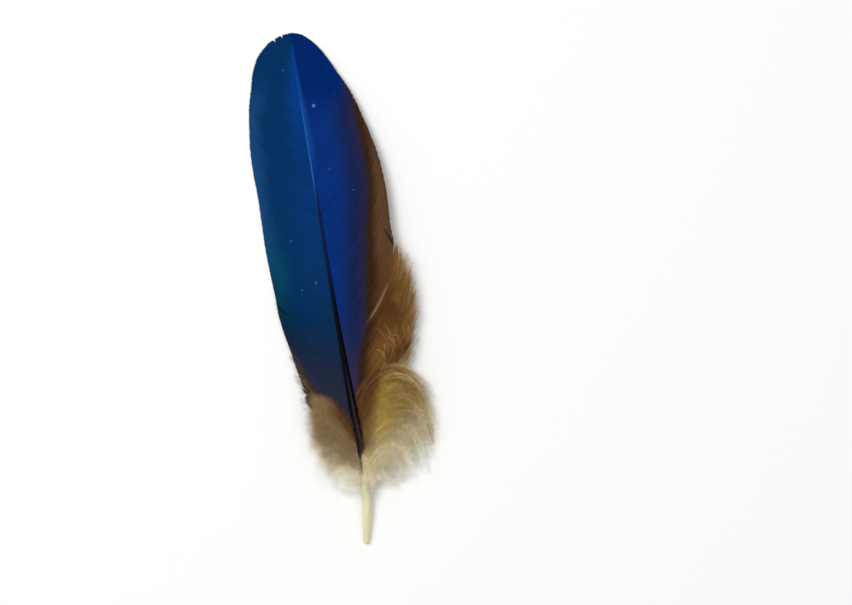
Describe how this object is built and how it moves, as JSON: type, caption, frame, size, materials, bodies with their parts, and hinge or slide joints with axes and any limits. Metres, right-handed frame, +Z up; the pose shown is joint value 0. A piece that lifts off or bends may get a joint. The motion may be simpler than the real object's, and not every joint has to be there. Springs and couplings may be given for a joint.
{
  "type": "macaw feather",
  "caption": "Loose wing feather of a blue and yellow macaw: tapering shaft, blue and brown vanes, and white down above a cream quill. It lies on a surface, blue side up.",
  "frame": {"origin": "on the surface that the feather lies on, under the middle of its bounding box", "axes": "+Y from the quill's end to the vane's tip, +X to the side of the wide inner vane, +Z up, out of the blue upper side"},
  "size_m": [0.036, 0.1296, 0.0056],
  "materials": {
    "feather": "soft blue barbs with a silky sheen, brown towards the inner edge, golden olive underneath",
    "down": "loose matt down, olive where it leaves the vane and off-white at the quill",
    "shaft": "smooth horn, near black along the vanes and pale cream at the quill"
  },
  "bodies": {
    "root": {"feather": "feather"}
  },
  "joints": []
}
